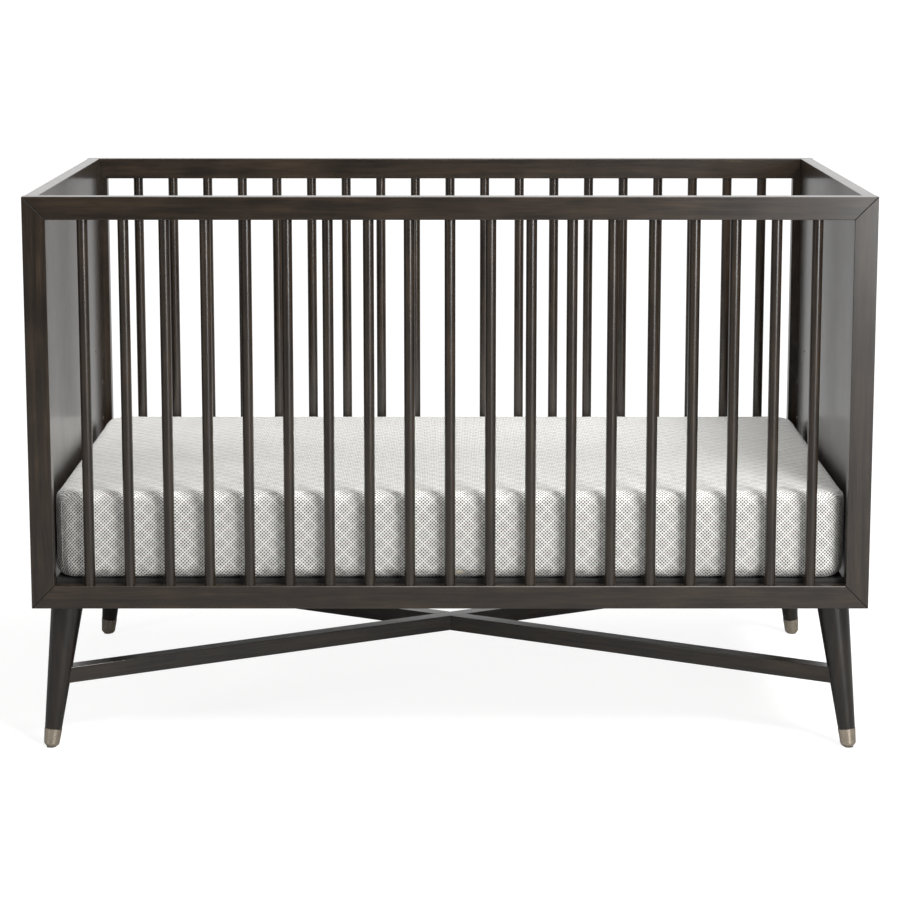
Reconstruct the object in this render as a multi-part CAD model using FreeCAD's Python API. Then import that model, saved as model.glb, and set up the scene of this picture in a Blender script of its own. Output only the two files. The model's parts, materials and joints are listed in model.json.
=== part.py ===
import FreeCAD, Part

import math
import os

# Baby crib with a slatted case on splayed turned legs.
# Millimetres. X runs along the crib, Y from front to rear, Z up from the floor.
# The origin is on the floor, at the centre of the case.
# Left is -X, right is +X, front is -Y, rear is +Y.

# Case
CASE_LENGTH = 1390.0
CASE_DEPTH = 756.0
CASE_TOP = 934.0
LEG_HEIGHT = 247.0
SIDE_THICKNESS = 22.0
MEMBER_WIDTH = 38.0
PANEL_THICKNESS = 22.0
PANEL_INSET = 1.5
EASED_EDGE = 0.8

# Spindles
SPINDLE_DIAMETER = 18.0
SPINDLE_END_GAP = 49.5
SPINDLE_MOST_PITCH = 68.0
TENON_DIAMETER = 10.0
TENON_LENGTH = 13.0

# Glue and assembly clearances
GLUE_GAP = 0.1
HOLE_RUNOUT = 0.5

# Dowels
DOWEL_DIAMETER = 8.0
MITRE_DOWEL_LENGTH = 30.0
PANEL_DOWEL_IN_PANEL = 20.0
PANEL_DOWEL_IN_STILE = 14.0
PANEL_DOWEL_FROM_ENDS = (150.0, 510.0)

# Cam connectors between stile and end panel
CAM_DIAMETER = 15.0
CAM_DEPTH = 12.5
CAM_FROM_EDGE = 34.0
CAM_BOLT_FROM_FACE = 8.5
CAM_BOLT_DIAMETER = 6.0
CAM_BOLT_HEAD_DIAMETER = 7.0
CAM_BOLT_IN_STILE = 12.0
CAM_FROM_ENDS = (83.0, 595.0)
CAM_SLOT_WIDTH = 1.6
CAM_SLOT_DEPTH = 1.5

# Legs
LEG_TOP_DIAMETER = 54.4
LEG_TIP_DIAMETER = 28.6
LEG_SPLAY = 0.1174
LEG_PANEL_GAP = 0.3
LEG_FRAME_GAP = 7.8
FERRULE_LENGTH = 30.0
FERRULE_STEP = 0.7
FERRULE_WALL = 0.9
FERRULE_TAPER = 1.9
FERRULE_ROUND = 6.5
FERRULE_LIFT = 1.6
GLIDE_DIAMETER = 16.0
GLIDE_STEM_DIAMETER = 4.0
GLIDE_STEM_LENGTH = 16.0

# Leg mounting
BLOCK_SIZE = 96.0
BLOCK_THICKNESS = 24.0
BLOCK_CORNER_CUT = 26.0
HANGER_BOLT_DIAMETER = 8.0
HANGER_BOLT_IN_LEG = 45.0
HANGER_BOLT_IN_BLOCK = 20.0
LEG_INSERT_DIAMETER = 13.0
LEG_INSERT_LENGTH = 17.0
LEG_INSERT_SUNK = 1.8
BLOCK_SCREW_DIAMETER = 4.5
BLOCK_SCREW_HEAD = 8.5
BLOCK_SCREW_HEAD_HEIGHT = 3.0
BLOCK_SCREW_LENGTH = 44.0
BLOCK_SCREW_BITE = 15.0
RAIL_SCREW_AT = (56.0, 84.0)
PANEL_SCREW_AT = (80.0,)
SCREW_FROM_FACE = 7.5

# Stretchers
STRETCHER_HEIGHT = 27.0
STRETCHER_WIDTH = 27.0
STRETCHER_BOTTOM = 108.0
STRETCHER_EASE = 1.2
STRETCHER_DOWEL_DIAMETER = 10.0
STRETCHER_DOWEL_IN_LEG = 14.0
STRETCHER_DOWEL_IN_BAR = 22.0
LAP_SCREW_DIAMETER = 4.0
LAP_SCREW_HEAD = 8.0
LAP_SCREW_LENGTH = 22.0

# Mattress
MATTRESS_END_CLEARANCE = 10.0
MATTRESS_SIDE_CLEARANCE = 7.0
MATTRESS_THICKNESS = 146.0
MATTRESS_CORNER_RADIUS = 45.0
MATTRESS_EDGE_RADIUS = 16.0
SHEET_THICKNESS = 1.0
SHEET_EASE = 0.2
SHEET_TUCK = 90.0
COVER_THICKNESS = 2.5
TOP_PAD_THICKNESS = 15.0
BOTTOM_PAD_THICKNESS = 8.0
BORDER_FOAM_WIDTH = 20.0
FILLING_GAP = 0.1
COIL_DIAMETER = 88.0
COIL_POCKET_THICKNESS = 1.0
COIL_LEAST_GAP = 2.0
BODY_CLEARANCE = 0.3

# Mattress support
DECK_TOP = 290.0
WIRE_DIAMETER = 3.0
WIRE_GAP = 0.1
TUBE_WIDTH = 20.0
TUBE_HEIGHT = 16.0
TUBE_WALL = 1.2
SUPPORT_END_CLEARANCE = 13.5
SUPPORT_SIDE_CLEARANCE = 10.0
LONG_WIRES = 9
CROSS_WIRES = 15
WIRE_MARGIN = 48.0
CROSS_BARS = 3
CROSS_BAR_WIDTH = 20.0
CROSS_BAR_THICKNESS = 3.0

# Height setting
LEVELS = 4
LEVEL_STEP = 71.0
LOWEST_LEVEL = 290.0
LEVEL_FROM_FRAME = 17.5
LEVEL_INSERT_DIAMETER = 9.5
LEVEL_INSERT_DEPTH = 13.0
LEVEL_INSERT_PROUD = 0.3
TRAY_INSERT_HEIGHT = 578.0
TRAY_INSERT_FROM_FRAME = 103.0
TRAY_INSERT_DIAMETER = 8.0
SHOULDER_DIAMETER = 6.0
SHOULDER_IN_PANEL = 11.0
SHOULDER_HEAD_DIAMETER = 12.0
SHOULDER_HEAD_THICKNESS = 3.0
SHOULDER_SOCKET_WIDTH = 4.0
SHOULDER_SOCKET_DEPTH = 1.8
THREAD_GAP = 0.1
HOOK_THICKNESS = 2.5
HOOK_PANEL_GAP = 1.0
HOOK_HEAD_GAP = 0.5
HOOK_OUTER_WIDTH = 12.5
HOOK_INNER_WIDTH = 22.5
HOOK_TOP_ABOVE_SCREW = 12.0
HOOK_SLOT_EASE = 0.5
HOOK_TAB_WIDTH = 13.0
HOOK_TAB_THICKNESS = 2.5

# Worked out from the sizes above
half_length = CASE_LENGTH / 2
half_depth = CASE_DEPTH / 2
inner_depth = half_depth - SIDE_THICKNESS
panel_outer = half_length - PANEL_INSET
inner_length = panel_outer - PANEL_THICKNESS
case_height = CASE_TOP - LEG_HEIGHT
opening_half = half_length - MEMBER_WIDTH
side_middle = half_depth - SIDE_THICKNESS / 2
rail_low_top = LEG_HEIGHT + MEMBER_WIDTH
rail_high_bottom = CASE_TOP - MEMBER_WIDTH

SIDES = {"left": -1, "right": 1}
FACES = {"front": -1, "rear": 1}


def vec(x, y, z):
    return FreeCAD.Vector(x, y, z)


def box(low, high):
    """A box between two corners."""
    size = [high[i] - low[i] for i in range(3)]
    return Part.makeBox(size[0], size[1], size[2], vec(*low))


def box_between(a, b):
    """A box between any two opposite corners, in whichever order they come."""
    low = [min(a[i], b[i]) for i in range(3)]
    high = [max(a[i], b[i]) for i in range(3)]
    return box(low, high)


def rod(diameter, start, end):
    """A round bar from one point to another."""
    run = end - start
    return Part.makeCylinder(diameter / 2, run.Length, start, run)


def turned(outline):
    """A solid turned about Z from (radius, height) points."""
    points = [vec(r, 0, z) for r, z in outline]
    points.append(points[0])
    face = Part.Face(Part.makePolygon(points))
    return face.revolve(vec(0, 0, 0), vec(0, 0, 1), 360)


def aimed(shape, start, direction):
    """A shape modelled along +Z, moved to a point and turned to a direction."""
    moved = shape.copy()
    turn = FreeCAD.Rotation(vec(0, 0, 1), direction)
    moved.Placement = FreeCAD.Placement(start, turn).multiply(moved.Placement)
    return moved


def eased(shape, size):
    """A shape with all its edges broken by a small chamfer."""
    return shape.makeChamfer(size, shape.Edges)


def cut_all(shape, tools):
    """A shape with every tool cut from it."""
    if not tools:
        return shape
    return shape.cut(tools)


def spaced(count, low, high):
    """Evenly spaced places from low to high."""
    step = (high - low) / (count - 1)
    return [low + step * i for i in range(count)]


def save(name, shapes):
    """Write one node, checking that each of its pieces is one closed solid."""
    solids = []
    for shape in shapes:
        solids.extend(shape.Solids)
    if len(solids) != len(shapes):
        raise ValueError(f"{name}: {len(shapes)} pieces became {len(solids)} solids")
    for solid in solids:
        if not solid.isValid() or solid.Volume <= 0:
            raise ValueError(f"{name}: a piece is not a sound solid")
    result = solids[0] if len(solids) == 1 else Part.makeCompound(solids)
    result.exportStep(f"parts/{name}.step")


# Spindles of the two long sides

def spindle_places():
    span = 2 * (opening_half - SPINDLE_END_GAP) - SPINDLE_DIAMETER
    count = math.ceil(span / SPINDLE_MOST_PITCH) + 1
    return spaced(count, -span / 2, span / 2)


def spindle(x, y):
    """A round bar with a shouldered tenon at each end."""
    thick = SPINDLE_DIAMETER / 2
    thin = TENON_DIAMETER / 2
    low = rail_low_top
    high = rail_high_bottom
    shape = turned([
        (0, low - TENON_LENGTH),
        (thin, low - TENON_LENGTH),
        (thin, low),
        (thick, low),
        (thick, high),
        (thin, high),
        (thin, high + TENON_LENGTH),
        (0, high + TENON_LENGTH),
    ])
    shape.translate(vec(x, y, 0))
    return shape


def spindle_holes(y, edge, direction):
    depth = TENON_LENGTH + HOLE_RUNOUT
    holes = []
    for x in spindle_places():
        start = vec(x, y, edge)
        holes.append(rod(TENON_DIAMETER + 2 * GLUE_GAP, start, start + vec(0, 0, direction * depth)))
    return holes


# Mitred frames of the two long sides

def mitre_dowels(y):
    """A dowel across each mitre, square to the joint."""
    reach = MITRE_DOWEL_LENGTH / 2 / math.sqrt(2)
    across = half_length - MEMBER_WIDTH / 2
    dowels = []
    for side in (-1, 1):
        for z, rise in ((LEG_HEIGHT + MEMBER_WIDTH / 2, -1), (CASE_TOP - MEMBER_WIDTH / 2, 1)):
            middle = vec(side * across, y, z)
            arm = vec(side * reach, 0, -rise * reach)
            dowels.append((middle - arm, middle + arm))
    return dowels


def mitre_dowel_holes(y):
    holes = []
    for start, end in mitre_dowels(y):
        run = (end - start).normalize() * HOLE_RUNOUT
        holes.append(rod(DOWEL_DIAMETER + 2 * GLUE_GAP, start - run, end + run))
    return holes


def member(outline, face):
    """A mitred frame member from its (x, z) outline."""
    outer = face * half_depth
    inner = face * inner_depth
    points = [vec(x, outer, z) for x, z in outline]
    points.append(points[0])
    solid = Part.Face(Part.makePolygon(points)).extrude(vec(0, inner - outer, 0))
    return eased(solid, EASED_EDGE)


def top_rail(face):
    y = face * side_middle
    shape = member([
        (-half_length, CASE_TOP),
        (half_length, CASE_TOP),
        (opening_half, rail_high_bottom),
        (-opening_half, rail_high_bottom),
    ], face)
    return cut_all(shape, spindle_holes(y, rail_high_bottom, 1) + mitre_dowel_holes(y))


def bottom_rail(face):
    y = face * side_middle
    shape = member([
        (-half_length, LEG_HEIGHT),
        (half_length, LEG_HEIGHT),
        (opening_half, rail_low_top),
        (-opening_half, rail_low_top),
    ], face)
    holes = spindle_holes(y, rail_low_top, -1) + mitre_dowel_holes(y)
    for side in (-1, 1):
        holes += rail_screw_holes(side, face)
    return cut_all(shape, holes)


def stile(side, face):
    y = face * side_middle
    shape = member([
        (side * half_length, CASE_TOP),
        (side * half_length, LEG_HEIGHT),
        (side * opening_half, rail_low_top),
        (side * opening_half, rail_high_bottom),
    ], face)
    holes = mitre_dowel_holes(y)
    for z in cam_heights():
        start = vec(side * cam_bolt_x, face * inner_depth, z)
        end = start + vec(0, face * (CAM_BOLT_IN_STILE + HOLE_RUNOUT), 0)
        holes.append(rod(CAM_BOLT_HEAD_DIAMETER + 2 * GLUE_GAP, start, end))
    for z in panel_dowel_heights():
        start = vec(side * panel_middle, face * inner_depth, z)
        end = start + vec(0, face * (PANEL_DOWEL_IN_STILE + HOLE_RUNOUT), 0)
        holes.append(rod(DOWEL_DIAMETER + 2 * GLUE_GAP, start, end))
    return cut_all(shape, holes)


# End panels and their connectors

panel_middle = inner_length + PANEL_THICKNESS / 2
cam_bolt_x = inner_length + CAM_BOLT_FROM_FACE
cam_y = inner_depth - CAM_FROM_EDGE


def cam_heights():
    return [LEG_HEIGHT + rise for rise in CAM_FROM_ENDS]


def panel_dowel_heights():
    return [LEG_HEIGHT + rise for rise in PANEL_DOWEL_FROM_ENDS]


def cam_bolt(side, face, z):
    """A bolt screwed into the stile, with its head inside the cam."""
    axis = vec(0, face, 0)
    neck = vec(side * cam_bolt_x, face * cam_y, z)
    edge = vec(side * cam_bolt_x, face * inner_depth, z)
    head = rod(CAM_BOLT_HEAD_DIAMETER, neck, neck + axis * CAM_BOLT_DIAMETER / 2)
    shank = rod(CAM_BOLT_DIAMETER, neck, edge)
    thread = rod(CAM_BOLT_HEAD_DIAMETER, edge, edge + axis * CAM_BOLT_IN_STILE)
    return head.fuse([shank, thread]).removeSplitter()


def cam_bolt_channel(side, face, z):
    start = vec(side * cam_bolt_x, face * (cam_y - HOLE_RUNOUT), z)
    end = vec(side * cam_bolt_x, face * inner_depth, z)
    return rod(CAM_BOLT_HEAD_DIAMETER + 2 * GLUE_GAP, start, end)


def cam(side, face, z):
    """A round locking cam with a cross slot, let into the panel's inner face."""
    front = vec(side * inner_length, face * cam_y, z)
    body = rod(CAM_DIAMETER, front, front + vec(side * CAM_DEPTH, 0, 0))
    tools = [cam_bolt_channel(side, face, z)]
    arm = CAM_DIAMETER / 3
    half_slot = CAM_SLOT_WIDTH / 2
    for reach_y, reach_z in ((arm, half_slot), (half_slot, arm)):
        low = (front.x, front.y - reach_y, z - reach_z)
        high = (front.x + side * CAM_SLOT_DEPTH, front.y + reach_y, z + reach_z)
        tools.append(box_between(low, high))
    return cut_all(body, tools)


def cam_hole(side, face, z):
    start = vec(side * inner_length, face * cam_y, z)
    end = start + vec(side * (CAM_DEPTH + HOLE_RUNOUT), 0, 0)
    return rod(CAM_DIAMETER + 2 * GLUE_GAP, start, end)


def panel_dowel(side, face, z):
    edge = face * inner_depth
    start = vec(side * panel_middle, edge - face * PANEL_DOWEL_IN_PANEL, z)
    return start, vec(side * panel_middle, edge + face * PANEL_DOWEL_IN_STILE, z)


def end_panel(side):
    shape = eased(box_between(
        (side * inner_length, -inner_depth, LEG_HEIGHT),
        (side * panel_outer, inner_depth, CASE_TOP),
    ), EASED_EDGE)
    holes = []
    for face in (-1, 1):
        for z in cam_heights():
            holes.append(cam_hole(side, face, z))
            holes.append(cam_bolt_channel(side, face, z))
        for z in panel_dowel_heights():
            start, end = panel_dowel(side, face, z)
            start = start - vec(0, face * HOLE_RUNOUT, 0)
            holes.append(rod(DOWEL_DIAMETER + 2 * GLUE_GAP, start, end))
        for y, z, diameter in insert_places(face):
            holes.append(insert_hole(side, y, z, diameter))
        holes += panel_screw_holes(side, face)
    return cut_all(shape, holes)


# Threaded inserts and shoulder screws for the mattress height

def level_heights():
    return [LOWEST_LEVEL + LEVEL_STEP * i for i in range(LEVELS)]


def insert_places(face):
    """Place (y, z) and outer diameter of each insert near one end of a panel."""
    level_y = face * (inner_depth - LEVEL_FROM_FRAME)
    places = [(level_y, z, LEVEL_INSERT_DIAMETER) for z in level_heights()]
    if face == FACES["rear"]:
        tray_y = face * (inner_depth - TRAY_INSERT_FROM_FRAME)
        places.append((tray_y, TRAY_INSERT_HEIGHT, TRAY_INSERT_DIAMETER))
    return places


def insert_hole(side, y, z, diameter):
    start = vec(side * inner_length, y, z)
    end = start + vec(side * (LEVEL_INSERT_DEPTH + HOLE_RUNOUT), 0, 0)
    return rod(diameter + 2 * GLUE_GAP, start, end)


def threaded_insert(side, y, z, diameter):
    front = vec(side * (inner_length - LEVEL_INSERT_PROUD), y, z)
    end = vec(side * (inner_length + LEVEL_INSERT_DEPTH), y, z)
    bore = SHOULDER_DIAMETER + 2 * THREAD_GAP
    return rod(diameter, front, end).cut(rod(bore, front, end))


hook_inner_x = inner_length - HOOK_PANEL_GAP - HOOK_THICKNESS
screw_head_x = hook_inner_x - HOOK_HEAD_GAP


def shoulder_screw(side, face):
    """A socket-head screw that holds one hook of the mattress support."""
    y = face * (inner_depth - LEVEL_FROM_FRAME)
    under_head = vec(side * screw_head_x, y, LOWEST_LEVEL)
    crown = under_head - vec(side * SHOULDER_HEAD_THICKNESS, 0, 0)
    tip = vec(side * (inner_length + SHOULDER_IN_PANEL), y, LOWEST_LEVEL)
    head = rod(SHOULDER_HEAD_DIAMETER, crown, under_head)
    screw = head.fuse(rod(SHOULDER_DIAMETER, under_head, tip)).removeSplitter()
    half = SHOULDER_SOCKET_WIDTH / 2
    socket = box_between(
        (crown.x, y - half, LOWEST_LEVEL - half),
        (crown.x + side * SHOULDER_SOCKET_DEPTH, y + half, LOWEST_LEVEL + half),
    )
    return screw.cut(socket)


# Corner blocks that carry the legs

def corner_block(side, face):
    """A thick block in the corner of the case, with its inner corner cut off."""
    outer_x = side * inner_length
    outer_y = face * inner_depth
    inner_x = side * (inner_length - BLOCK_SIZE)
    inner_y = face * (inner_depth - BLOCK_SIZE)
    points = [
        vec(outer_x, outer_y, LEG_HEIGHT),
        vec(inner_x, outer_y, LEG_HEIGHT),
        vec(inner_x, inner_y + face * BLOCK_CORNER_CUT, LEG_HEIGHT),
        vec(inner_x + side * BLOCK_CORNER_CUT, inner_y, LEG_HEIGHT),
        vec(outer_x, inner_y, LEG_HEIGHT),
    ]
    points.append(points[0])
    shape = Part.Face(Part.makePolygon(points)).extrude(vec(0, 0, BLOCK_THICKNESS))
    tools = [leg_insert_hole(side, face)]
    for start, end in rail_screws(side, face) + panel_screws(side, face):
        run = (end - start).normalize()
        mouth = start - run * BLOCK_SIZE
        tools.append(rod(BLOCK_SCREW_DIAMETER + 2 * GLUE_GAP, start, end))
        tools.append(rod(BLOCK_SCREW_HEAD + 2 * GLUE_GAP, mouth, start + run * BLOCK_SCREW_HEAD_HEIGHT))
    return cut_all(shape, tools)


def rail_screws(side, face):
    """Head and tip of each screw from a block into the bottom rail."""
    z = LEG_HEIGHT + BLOCK_THICKNESS - SCREW_FROM_FACE
    tip = inner_depth + BLOCK_SCREW_BITE
    screws = []
    for inset in RAIL_SCREW_AT:
        x = side * (inner_length - inset)
        screws.append((vec(x, face * (tip - BLOCK_SCREW_LENGTH), z), vec(x, face * tip, z)))
    return screws


def panel_screws(side, face):
    """Head and tip of each screw from a block into the end panel."""
    z = LEG_HEIGHT + SCREW_FROM_FACE
    tip = inner_length + BLOCK_SCREW_BITE
    screws = []
    for inset in PANEL_SCREW_AT:
        y = face * (inner_depth - inset)
        screws.append((vec(side * (tip - BLOCK_SCREW_LENGTH), y, z), vec(side * tip, y, z)))
    return screws


def pilot_holes(screws):
    holes = []
    for start, end in screws:
        run = (end - start).normalize() * HOLE_RUNOUT
        holes.append(rod(BLOCK_SCREW_DIAMETER + 2 * GLUE_GAP, start, end + run))
    return holes


def rail_screw_holes(side, face):
    return pilot_holes(rail_screws(side, face))


def panel_screw_holes(side, face):
    return pilot_holes(panel_screws(side, face))


def wood_screw(start, end):
    """A cylinder-head wood screw with a straight shank."""
    run = (end - start).normalize()
    head = rod(BLOCK_SCREW_HEAD, start, start + run * BLOCK_SCREW_HEAD_HEIGHT)
    return head.fuse(rod(BLOCK_SCREW_DIAMETER, start, end)).removeSplitter()


# Splayed turned legs: t is the distance along the leg from the floor

leg_run = LEG_HEIGHT * math.sqrt(1 + 2 * LEG_SPLAY ** 2)
ferrule_top = FERRULE_LIFT + FERRULE_LENGTH
leg_slope = (LEG_TOP_DIAMETER - LEG_TIP_DIAMETER) / 2 / (leg_run - ferrule_top)


def leg_radius(t):
    return LEG_TIP_DIAMETER / 2 + leg_slope * (t - ferrule_top)


def leg_direction(side, face):
    return vec(-side * LEG_SPLAY, -face * LEG_SPLAY, 1).normalize()


def foot_point(side, face):
    top_x = inner_length - LEG_PANEL_GAP - LEG_TOP_DIAMETER / 2
    top_y = inner_depth - LEG_FRAME_GAP - LEG_TOP_DIAMETER / 2
    out = LEG_SPLAY * LEG_HEIGHT
    return vec(side * (top_x + out), face * (top_y + out), 0)


def on_leg(shape, side, face):
    return aimed(shape, foot_point(side, face), leg_direction(side, face))


def along_leg(diameter, low, high, side, face):
    return on_leg(Part.makeCylinder(diameter / 2, high - low, vec(0, 0, low)), side, face)


def leg(side, face):
    """A tapered leg with a tip for the ferrule, sawn level where it meets the block."""
    tip = FERRULE_LIFT + FERRULE_WALL + GLUE_GAP
    over = LEG_TOP_DIAMETER / 2
    tip_low = tip_radius(tip)
    outline = [
        (0, tip),
        (tip_low - FERRULE_ROUND, tip),
        (tip_low, tip + FERRULE_ROUND),
        (tip_radius(ferrule_top), ferrule_top),
        (leg_radius(ferrule_top), ferrule_top),
        (leg_radius(leg_run + over), leg_run + over),
        (0, leg_run + over),
    ]
    shape = on_leg(turned(outline), side, face)
    saw = box((-CASE_LENGTH, -CASE_DEPTH, LEG_HEIGHT), (CASE_LENGTH, CASE_DEPTH, CASE_TOP))
    bolt = HANGER_BOLT_DIAMETER + 2 * GLUE_GAP
    stem = GLIDE_STEM_DIAMETER + 2 * GLUE_GAP
    low = leg_run - HANGER_BOLT_IN_LEG - HOLE_RUNOUT
    tools = [saw, along_leg(bolt, low, leg_run + over, side, face)]
    tools.append(along_leg(stem, 0, GLIDE_STEM_LENGTH + HOLE_RUNOUT, side, face))
    start, end = stretcher_dowel(side, face)
    run = (start - end).normalize() * HOLE_RUNOUT
    tools.append(rod(STRETCHER_DOWEL_DIAMETER + 2 * GLUE_GAP, start + run, end))
    return cut_all(shape, tools)


def ferrule_radius(t):
    """Outside of the ferrule, which narrows towards the floor."""
    top = LEG_TIP_DIAMETER / 2 + FERRULE_STEP
    return top - FERRULE_TAPER * (ferrule_top - t) / FERRULE_LENGTH


def tip_radius(t):
    return ferrule_radius(t) - FERRULE_WALL - GLUE_GAP


def cup(bottom, wall):
    """A solid round-bottomed tapered plug, from the ferrule's outline less a wall."""
    low = ferrule_radius(bottom) - wall
    bend = FERRULE_ROUND - wall
    high = ferrule_radius(ferrule_top) - wall
    middle = bend * math.sqrt(0.5)
    flat_end = vec(low - bend, 0, bottom)
    arc_middle = vec(low - bend + middle, 0, bottom + bend - middle)
    arc_end = vec(low, 0, bottom + bend)
    side_top = vec(high, 0, ferrule_top)
    edges = [
        Part.LineSegment(vec(0, 0, bottom), flat_end).toShape(),
        Part.Arc(flat_end, arc_middle, arc_end).toShape(),
        Part.LineSegment(arc_end, side_top).toShape(),
        Part.LineSegment(side_top, vec(0, 0, ferrule_top)).toShape(),
        Part.LineSegment(vec(0, 0, ferrule_top), vec(0, 0, bottom)).toShape(),
    ]
    face = Part.Face(Part.Wire(edges))
    return face.revolve(vec(0, 0, 0), vec(0, 0, 1), 360)


def ferrule(side, face):
    """A thin metal cup over the leg's tip, with a hole for the glide's stem."""
    shell = cup(FERRULE_LIFT, 0).cut([
        cup(FERRULE_LIFT + FERRULE_WALL, FERRULE_WALL),
        Part.makeCylinder(GLIDE_STEM_DIAMETER / 2 + GLUE_GAP, ferrule_top),
    ])
    return on_leg(shell, side, face)


def glide(side, face):
    """A nail-in glide whose foot is level with the floor."""
    pad = Part.makeCylinder(GLIDE_DIAMETER / 2, FERRULE_LIFT + GLIDE_DIAMETER, vec(0, 0, -GLIDE_DIAMETER))
    stem = Part.makeCylinder(GLIDE_STEM_DIAMETER / 2, GLIDE_STEM_LENGTH)
    shape = on_leg(pad.fuse(stem).removeSplitter(), side, face)
    floor = box((-CASE_LENGTH, -CASE_DEPTH, -CASE_TOP), (CASE_LENGTH, CASE_DEPTH, 0))
    return shape.cut(floor)


def hanger_bolt(side, face):
    low = leg_run - HANGER_BOLT_IN_LEG
    return along_leg(HANGER_BOLT_DIAMETER, low, leg_run + HANGER_BOLT_IN_BLOCK, side, face)


def leg_insert(side, face):
    low = leg_run + LEG_INSERT_SUNK
    high = low + LEG_INSERT_LENGTH
    bore = HANGER_BOLT_DIAMETER + 2 * THREAD_GAP
    sleeve = along_leg(LEG_INSERT_DIAMETER, low, high, side, face)
    return sleeve.cut(along_leg(bore, low, high, side, face))


def leg_insert_hole(side, face):
    low = leg_run - LEG_INSERT_DIAMETER
    high = leg_run + HANGER_BOLT_IN_BLOCK + HOLE_RUNOUT
    return along_leg(LEG_INSERT_DIAMETER + 2 * GLUE_GAP, low, high, side, face)


# Crossed stretchers between the legs

stretcher_middle = STRETCHER_BOTTOM + STRETCHER_HEIGHT / 2
stretcher_top = STRETCHER_BOTTOM + STRETCHER_HEIGHT


def stretcher_end(side, face):
    """Where a leg's axis passes the middle of the stretchers."""
    axis = leg_direction(side, face)
    return foot_point(side, face) + axis * (stretcher_middle / axis.z)


def stretcher_dowel(side, face):
    """The dowel's end in the leg and its end in the stretcher."""
    middle = stretcher_end(side, face)
    run = vec(-middle.x, -middle.y, 0).normalize()
    surface = leg_radius(stretcher_middle / leg_direction(side, face).z)
    return middle + run * (surface - STRETCHER_DOWEL_IN_LEG), middle + run * (surface + STRETCHER_DOWEL_IN_BAR)


def diagonal_bar(slant, low, high, width):
    """A level bar along the diagonal, from a height to a height."""
    end = stretcher_end(1, slant)
    reach = math.hypot(end.x, end.y)
    shape = box((-reach, -width / 2, low), (reach, width / 2, high))
    shape.rotate(vec(0, 0, 0), vec(0, 0, 1), math.degrees(math.atan2(end.y, end.x)))
    return shape


def stretcher(slant):
    """A diagonal bar, coped to the two legs and halved at the crossing."""
    bar = diagonal_bar(slant, STRETCHER_BOTTOM, stretcher_top, STRETCHER_WIDTH)
    length = max(edge.Length for edge in bar.Edges)
    bar = bar.makeFillet(STRETCHER_EASE, [edge for edge in bar.Edges if edge.Length > length - 1])
    low, high = (stretcher_middle - GLUE_GAP / 2, stretcher_top + 1)
    if slant > 0:
        low, high = (STRETCHER_BOTTOM - 1, stretcher_middle + GLUE_GAP / 2)
    tools = [diagonal_bar(-slant, low, high, STRETCHER_WIDTH + 2 * GLUE_GAP)]
    for side in (-1, 1):
        face = side * slant
        cone_low = leg_radius(ferrule_top) + GLUE_GAP
        cone_high = leg_radius(leg_run) + GLUE_GAP
        cone = Part.makeCone(cone_low, cone_high, leg_run - ferrule_top, vec(0, 0, ferrule_top))
        tools.append(on_leg(cone, side, face))
        start, end = stretcher_dowel(side, face)
        run = (end - start).normalize() * HOLE_RUNOUT
        tools.append(rod(STRETCHER_DOWEL_DIAMETER + 2 * GLUE_GAP, start, end + run))
    tools.append(lap_screw_hole())
    return cut_all(bar, tools)


def lap_screw_outline(gap):
    head = LAP_SCREW_HEAD / 2 + gap
    shank = LAP_SCREW_DIAMETER / 2 + gap
    top = STRETCHER_BOTTOM + LAP_SCREW_LENGTH + gap
    return [
        (0, STRETCHER_BOTTOM),
        (head, STRETCHER_BOTTOM),
        (shank, STRETCHER_BOTTOM + head - shank),
        (shank, top),
        (0, top),
    ]


def lap_screw():
    return turned(lap_screw_outline(0))


def lap_screw_hole():
    return turned(lap_screw_outline(GLUE_GAP))


# Mattress support: a tubular steel rim, with the wire deck welded inside it level with its top

long_wire_z = DECK_TOP - WIRE_DIAMETER / 2
cross_wire_z = long_wire_z - WIRE_DIAMETER - WIRE_GAP
bar_top = cross_wire_z - WIRE_DIAMETER / 2 - WIRE_GAP
tube_top = DECK_TOP
tube_bottom = tube_top - TUBE_HEIGHT
support_half_length = inner_length - SUPPORT_END_CLEARANCE
support_half_depth = inner_depth - SUPPORT_SIDE_CLEARANCE


def long_tube(face):
    outer = face * support_half_depth
    inner = outer - face * TUBE_WIDTH
    solid = box_between((-support_half_length, inner, tube_bottom), (support_half_length, outer, tube_top))
    bore = box_between(
        (-support_half_length, inner + face * TUBE_WALL, tube_bottom + TUBE_WALL),
        (support_half_length, outer - face * TUBE_WALL, tube_top - TUBE_WALL),
    )
    return solid.cut(bore)


def end_tube(side):
    outer = side * support_half_length
    inner = outer - side * TUBE_WIDTH
    reach = support_half_depth - TUBE_WIDTH
    solid = box_between((inner, -reach, tube_bottom), (outer, reach, tube_top))
    bore = box_between(
        (inner + side * TUBE_WALL, -reach, tube_bottom + TUBE_WALL),
        (outer - side * TUBE_WALL, reach, tube_top - TUBE_WALL),
    )
    return solid.cut(bore)


def cross_bars():
    """Flat bars under the wires, spaced evenly between the end tubes."""
    reach = support_half_depth - TUBE_WIDTH
    span = support_half_length - TUBE_WIDTH
    places = spaced(CROSS_BARS + 2, -span, span)[1:-1]
    low = bar_top - CROSS_BAR_THICKNESS
    half = CROSS_BAR_WIDTH / 2
    return [box((x - half, -reach, low), (x + half, reach, bar_top)) for x in places]


def long_wires():
    end = support_half_length - TUBE_WIDTH
    side = support_half_depth - WIRE_MARGIN
    places = spaced(LONG_WIRES, -side, side)
    return [rod(WIRE_DIAMETER, vec(-end, y, long_wire_z), vec(end, y, long_wire_z)) for y in places]


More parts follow.
